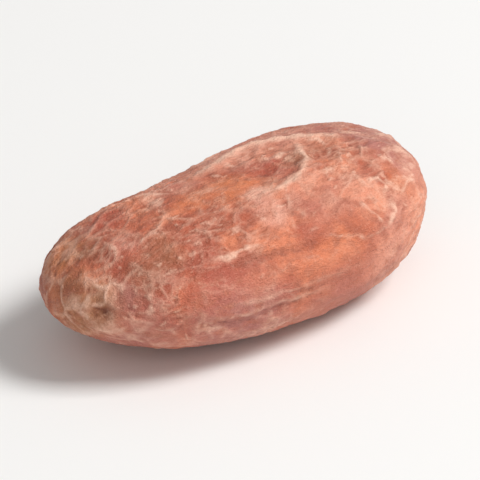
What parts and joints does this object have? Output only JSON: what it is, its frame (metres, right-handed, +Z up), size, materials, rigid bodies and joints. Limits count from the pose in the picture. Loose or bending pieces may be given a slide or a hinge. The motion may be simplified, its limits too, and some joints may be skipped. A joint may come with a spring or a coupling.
{
  "type": "fermented cocoa bean",
  "caption": "Whole fermented and dried cocoa bean: a flattened oval seed in a wrinkled, veined skin, with a round hilum scar near one end and a small flat spot to rest on.",
  "frame": {"origin": "on the surface that the bean rests on, under the middle of its outline", "axes": "+X along the bean from the hilum end to the blunt end, +Y across its width, +Z up through its thickness"},
  "size_m": [0.025, 0.0128, 0.0086],
  "materials": {
    "bean_skin": "dry and matt, brick red with a chalky bloom on the ridges"
  },
  "bodies": {
    "root": {"bean": "bean_skin"}
  },
  "joints": []
}
